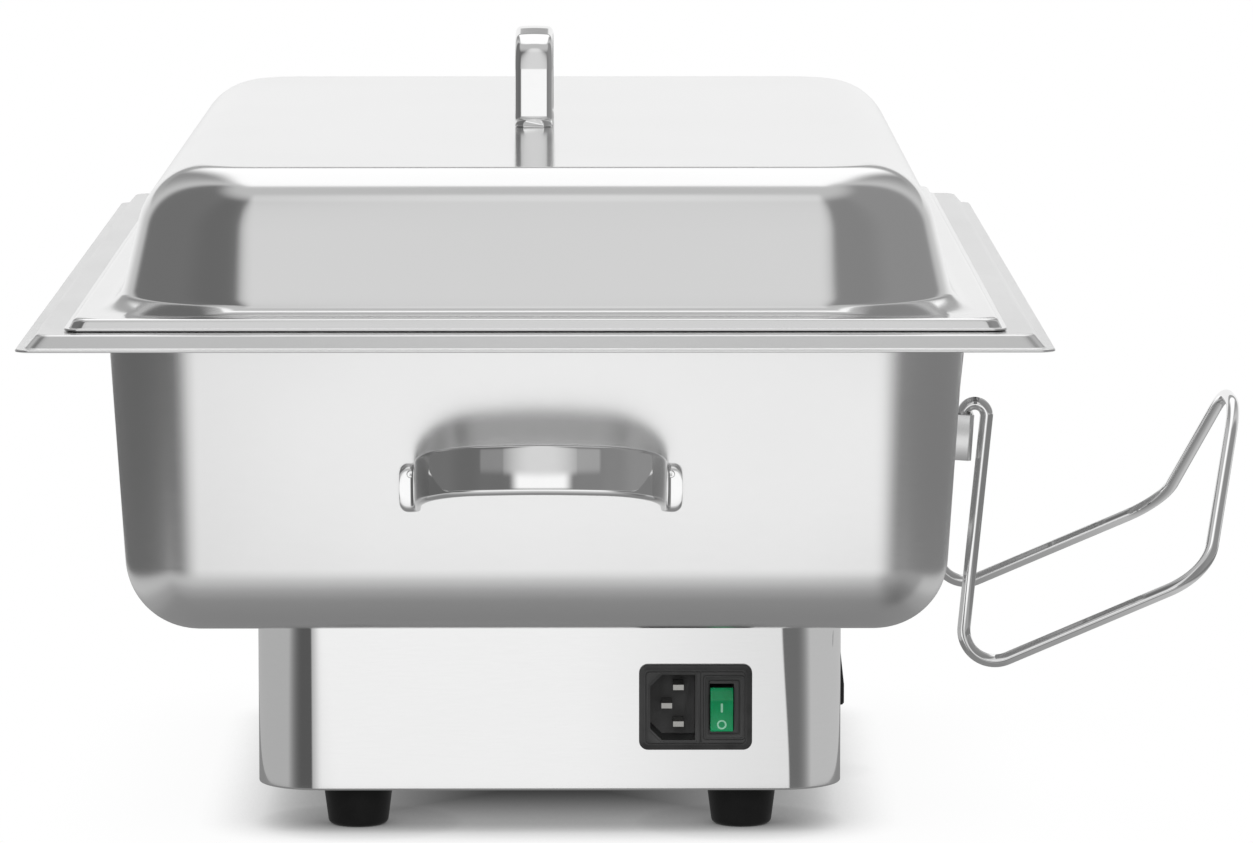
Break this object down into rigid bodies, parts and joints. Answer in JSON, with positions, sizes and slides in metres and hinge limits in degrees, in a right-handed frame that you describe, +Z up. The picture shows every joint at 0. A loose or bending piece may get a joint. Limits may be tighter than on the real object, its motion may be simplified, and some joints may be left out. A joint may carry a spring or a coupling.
{
  "type": "electric chafing dish",
  "caption": "Stainless electric chafing dish: water tank with rim on a heater base, lift-out food pan, lift-off domed lid, bow handles and a wire lid holder hooked on the side.",
  "frame": {"origin": "middle of the part's outline on the table", "axes": "+Z up; -Y out of the side with the mains inlet; +X towards the lid holder and the thermostat dial"},
  "size_m": [0.4608, 0.5918, 0.2959],
  "materials": {
    "satin_steel": "satin stainless sheet",
    "polished_steel": "mirror-polished stainless",
    "zinc_steel": "bright zinc plate",
    "black_rubber": "matte moulded rubber",
    "black_plastic": "fine-grained moulding",
    "green_plastic": "glossy translucent green",
    "tinned_brass": "tinned",
    "bare_aluminium": "mill finish",
    "heater_sheath": "heat-darkened tube",
    "copper": "drawn copper",
    "ceramic": "glazed ceramic",
    "lead_brown": "silicone sleeve",
    "lead_black": "silicone sleeve",
    "lead_white": "glass-fibre sleeve",
    "lead_blue": "silicone sleeve",
    "lead_green": "green and yellow sleeve"
  },
  "bodies": {
    "base": {"base_housing": "satin_steel", "base_plate": "satin_steel", "water_tank": "satin_steel", "holder_pocket_front": "satin_steel", "holder_pocket_rear": "satin_steel", "tank_handle_front": "polished_steel", "tank_handle_rear": "polished_steel", "foot_screws": "zinc_steel", "foot_nuts": "zinc_steel", "plate_screws": "zinc_steel", "tank_studs": "zinc_steel", "stud_nuts": "zinc_steel", "element_pins": "zinc_steel", "element_clamps": "zinc_steel", "clamp_screws": "zinc_steel", "shield_spacers": "zinc_steel", "shield_screws": "zinc_steel", "thermostat_screws": "zinc_steel", "earth_stud": "zinc_steel", "foot_front_left": "black_rubber", "foot_front_right": "black_rubber", "foot_rear_left": "black_rubber", "foot_rear_right": "black_rubber", "inlet_housing": "black_plastic", "thermostat_body": "black_plastic", "inlet_pins": "tinned_brass", "switch_tabs": "tinned_brass", "earth_nut": "tinned_brass", "heat_spreader": "bare_aluminium", "heat_shield": "bare_aluminium", "heating_element": "heater_sheath", "thermostat_bulb": "copper", "capillary_tube": "copper", "thermal_cutout": "ceramic", "lead_live": "lead_brown", "lead_switched": "lead_black", "lead_heater": "lead_white", "lead_neutral": "lead_blue", "lead_earth": "lead_green"},
    "food_pan": {"food_pan": "satin_steel"},
    "lid": {"lid_shell": "polished_steel", "lid_handle": "polished_steel"},
    "lid_holder": {"lid_holder": "polished_steel"},
    "knob": {"thermostat_knob": "black_plastic", "thermostat_spindle": "zinc_steel"},
    "rocker_key": {"rocker": "green_plastic"}
  },
  "joints": [
    {"name": "pan_lift", "type": "slide", "parent": "base", "child": "food_pan", "axis": [0, 0, 1], "range_m": [0, 0.15]},
    {"name": "lid_lift", "type": "slide", "parent": "food_pan", "child": "lid", "axis": [0, 0, 1], "range_m": [0, 0.15]},
    {"name": "holder_lift", "type": "slide", "parent": "base", "child": "lid_holder", "axis": [0, 0, 1], "range_m": [0, 0.016]},
    {"name": "knob_turn", "type": "hinge", "parent": "base", "child": "knob", "pos_m": [0.06934, -0.009, 0.042], "axis": [-1, 0, 0], "range_deg": [0, 270]},
    {"name": "rocker_press", "type": "hinge", "parent": "base", "child": "rocker_key", "pos_m": [0.02364, -0.1443, 0.0485], "axis": [-1, 0, 0], "range_deg": [0, 16]}
  ]
}
